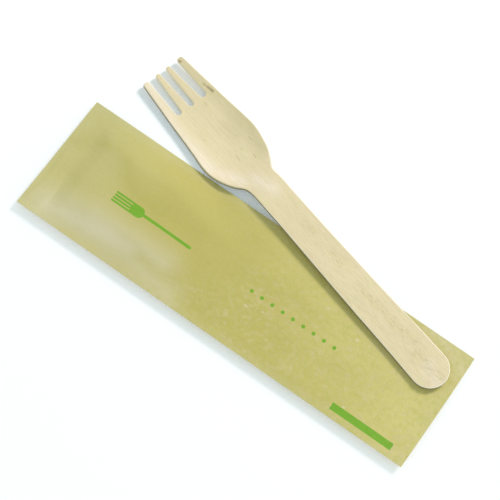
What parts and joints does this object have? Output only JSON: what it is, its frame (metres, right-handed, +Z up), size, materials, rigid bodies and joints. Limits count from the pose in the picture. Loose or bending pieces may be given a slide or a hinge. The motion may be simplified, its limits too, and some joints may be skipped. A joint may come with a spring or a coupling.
{
  "type": "wrapped wooden fork pack",
  "caption": "Long flat sealed paper sleeve with a wooden fork inside, and a loose pressed veneer fork lying across it with its head on the table",
  "frame": {"origin": "centre of the sleeve's flat underside, on the table", "axes": "+X along the sleeve towards the end that the loose fork's handle lies on, +Y across the sleeve towards the loose fork's head, +Z up"},
  "size_m": [0.171, 0.0845, 0.0056],
  "materials": {
    "sleeve": "matte pale green paper",
    "fork": "plain sanded birch veneer"
  },
  "bodies": {
    "root": {"sleeve": "sleeve", "fork": "fork"}
  },
  "joints": []
}
